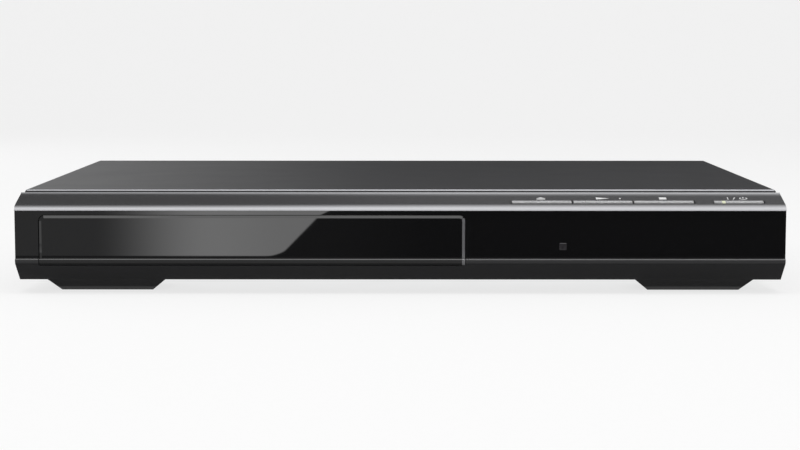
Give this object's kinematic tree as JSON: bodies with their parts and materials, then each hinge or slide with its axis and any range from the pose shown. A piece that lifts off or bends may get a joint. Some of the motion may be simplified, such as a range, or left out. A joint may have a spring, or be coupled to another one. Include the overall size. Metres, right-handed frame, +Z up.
{
  "type": "dvd player",
  "caption": "Slim free-standing disc player with a geared loading tray, a lifting pickup deck, ledge keys at the front and phono sockets at the back.",
  "frame": {"origin": "middle of the player on the surface it stands on", "axes": "+X to the right seen from the front, +Y to the back, +Z up"},
  "size_m": [0.32, 0.211, 0.0424],
  "materials": {
    "cover_paint": "fine textured satin",
    "pan_steel": "galvanised",
    "rear_paint": "satin",
    "foot_plastic": "matte",
    "pad_rubber": "matte",
    "screw_steel": "satin",
    "front_plastic": "satin",
    "front_gloss": "gloss",
    "remote_tint": "tinted gloss",
    "key_silver": "satin",
    "light_pipe": "clear",
    "board_green": "solder mask",
    "board_tan": "bare laminate",
    "chip_black": "matte",
    "loader_black": "matte",
    "tray_grey": "satin",
    "gear_white": "satin",
    "belt_rubber": "matte",
    "motor_steel": "plated",
    "deck_steel": "plated",
    "rod_steel": "ground",
    "sled_metal": "cast",
    "lens_glass": "coated",
    "magnet_grey": "sintered",
    "core_ferrite": "sintered",
    "coil_tape": "taped",
    "can_sleeve": "sleeved",
    "sink_aluminium": "extruded",
    "socket_plastic": "matte",
    "shell_plate": "nickel plated",
    "insert_green": "satin",
    "insert_blue": "satin",
    "insert_red": "satin",
    "insert_orange": "satin",
    "insert_yellow": "satin",
    "insert_white": "satin",
    "prong_plate": "plated",
    "ribbon_white": "satin"
  },
  "bodies": {
    "case": {"bottom_chassis": "pan_steel", "top_cover": "cover_paint", "rear_panel": "rear_paint", "case_feet": "foot_plastic", "foot_pads": "pad_rubber", "cover_screws": "screw_steel", "front_bezel": "front_plastic", "front_panel": "front_gloss", "remote_window": "remote_tint", "front_board": "board_tan", "key_switches": "chip_black", "remote_receiver": "chip_black", "drive_belt": "belt_rubber", "loading_motor": "motor_steel", "loader_frame": "loader_black", "clamp_bridge": "loader_black", "main_board": "board_green", "board_chips": "chip_black", "power_board": "board_tan", "transformer_core": "core_ferrite", "transformer_coil": "coil_tape", "power_capacitors": "can_sleeve", "heat_sink": "sink_aluminium", "socket_block": "socket_plastic", "socket_shells": "shell_plate", "green_insert": "insert_green", "blue_insert": "insert_blue", "red_insert": "insert_red", "orange_insert": "insert_orange", "yellow_insert": "insert_yellow", "white_insert": "insert_white", "mains_inlet": "socket_plastic", "mains_prongs": "prong_plate", "front_ribbon": "ribbon_white", "loader_ribbon": "ribbon_white", "loader_screws": "screw_steel", "board_screws": "screw_steel"},
    "tray": {"disc_tray": "tray_grey", "tray_door": "front_gloss"},
    "tray_gear": {"tray_gear": "gear_white"},
    "pulley_gear": {"pulley_gear": "gear_white"},
    "motor_pulley": {"motor_pulley": "gear_white"},
    "cam_slider": {"cam_slider": "gear_white"},
    "deck": {"traverse_deck": "deck_steel", "guide_rods": "rod_steel", "spindle_motor": "motor_steel", "feed_motor": "motor_steel"},
    "turntable": {"turntable": "loader_black"},
    "clamp": {"clamp_puck": "loader_black", "clamp_magnet": "magnet_grey", "clamp_yoke": "motor_steel"},
    "sled": {"pickup_sled": "sled_metal"},
    "lens": {"lens_holder": "chip_black", "objective_lens": "lens_glass"},
    "feed_screw": {"feed_screw": "rod_steel"},
    "eject_key": {"eject_key": "key_silver"},
    "play_key": {"play_key": "key_silver"},
    "stop_key": {"stop_key": "key_silver"},
    "power_key": {"power_key": "key_silver", "power_light": "light_pipe"}
  },
  "joints": [
    {"name": "tray_slide", "type": "slide", "parent": "case", "child": "tray", "axis": [0, -1, 0], "range_m": [0, 0.138]},
    {"name": "tray_gear_spin", "type": "hinge", "parent": "case", "child": "tray_gear", "pos_m": [-0.008, -0.0855, 0.01775], "axis": [0, 0, 1], "range_deg": [-720.8, 0]},
    {"name": "pulley_gear_spin", "type": "hinge", "parent": "case", "child": "pulley_gear", "pos_m": [-0.02527, -0.08043, 0.01775], "axis": [0, 0, 1], "range_deg": [0, 1131.5]},
    {"name": "motor_pulley_spin", "type": "hinge", "parent": "case", "child": "motor_pulley", "pos_m": [-0.05527, -0.07543, 0.01325], "axis": [0, 0, 1], "range_deg": [0, 4006.8]},
    {"name": "deck_tilt", "type": "hinge", "parent": "case", "child": "deck", "pos_m": [-0.0615, 0.0591, 0.017], "axis": [-1, 0, 0], "range_deg": [0, 3.82]},
    {"name": "cam_slide", "type": "slide", "parent": "case", "child": "cam_slider", "axis": [1, 0, 0], "range_m": [0, 0.0181]},
    {"name": "turntable_spin", "type": "hinge", "parent": "deck", "child": "turntable", "pos_m": [-0.0615, -0.03115, 0.01778], "axis": [0, -0.0667, 0.9978], "continuous": true},
    {"name": "clamp_spin", "type": "hinge", "parent": "case", "child": "clamp", "pos_m": [-0.0615, -0.0309, 0.0311], "axis": [0, 0, 1], "continuous": true},
    {"name": "sled_slide", "type": "slide", "parent": "deck", "child": "sled", "axis": [0, 0.9978, 0.0667], "range_m": [0, 0.034]},
    {"name": "feed_screw_spin", "type": "hinge", "parent": "deck", "child": "feed_screw", "pos_m": [-0.0325, -0.00647, 0.00841], "axis": [0, 0.9978, 0.0667], "range_deg": [0, 4082]},
    {"name": "lens_focus", "type": "slide", "parent": "sled", "child": "lens", "axis": [0, -0.0667, 0.9978], "range_m": [-0.0006, 0.0006], "stiffness_N_per_m": 60},
    {"name": "eject_key_press", "type": "slide", "parent": "case", "child": "eject_key", "axis": [0, 0, -1], "range_m": [0, 0.0008], "stiffness_N_per_m": 800},
    {"name": "play_key_press", "type": "slide", "parent": "case", "child": "play_key", "axis": [0, 0, -1], "range_m": [0, 0.0008], "stiffness_N_per_m": 800},
    {"name": "stop_key_press", "type": "slide", "parent": "case", "child": "stop_key", "axis": [0, 0, -1], "range_m": [0, 0.0008], "stiffness_N_per_m": 800},
    {"name": "power_key_press", "type": "slide", "parent": "case", "child": "power_key", "axis": [0, 0, -1], "range_m": [0, 0.0008], "stiffness_N_per_m": 800}
  ],
  "couplings": [
    {"joint": "tray_gear_spin", "follows": "tray_slide", "rad_per_m": -90.909},
    {"joint": "pulley_gear_spin", "follows": "tray_slide", "rad_per_m": 142.86},
    {"joint": "motor_pulley_spin", "follows": "tray_slide", "rad_per_m": 506.49},
    {"joint": "cam_slide", "follows": "deck_tilt", "m_per_rad": 0.2698},
    {"joint": "clamp_spin", "follows": "turntable_spin", "ratio": 1},
    {"joint": "feed_screw_spin", "follows": "sled_slide", "rad_per_m": 2094.4}
  ]
}
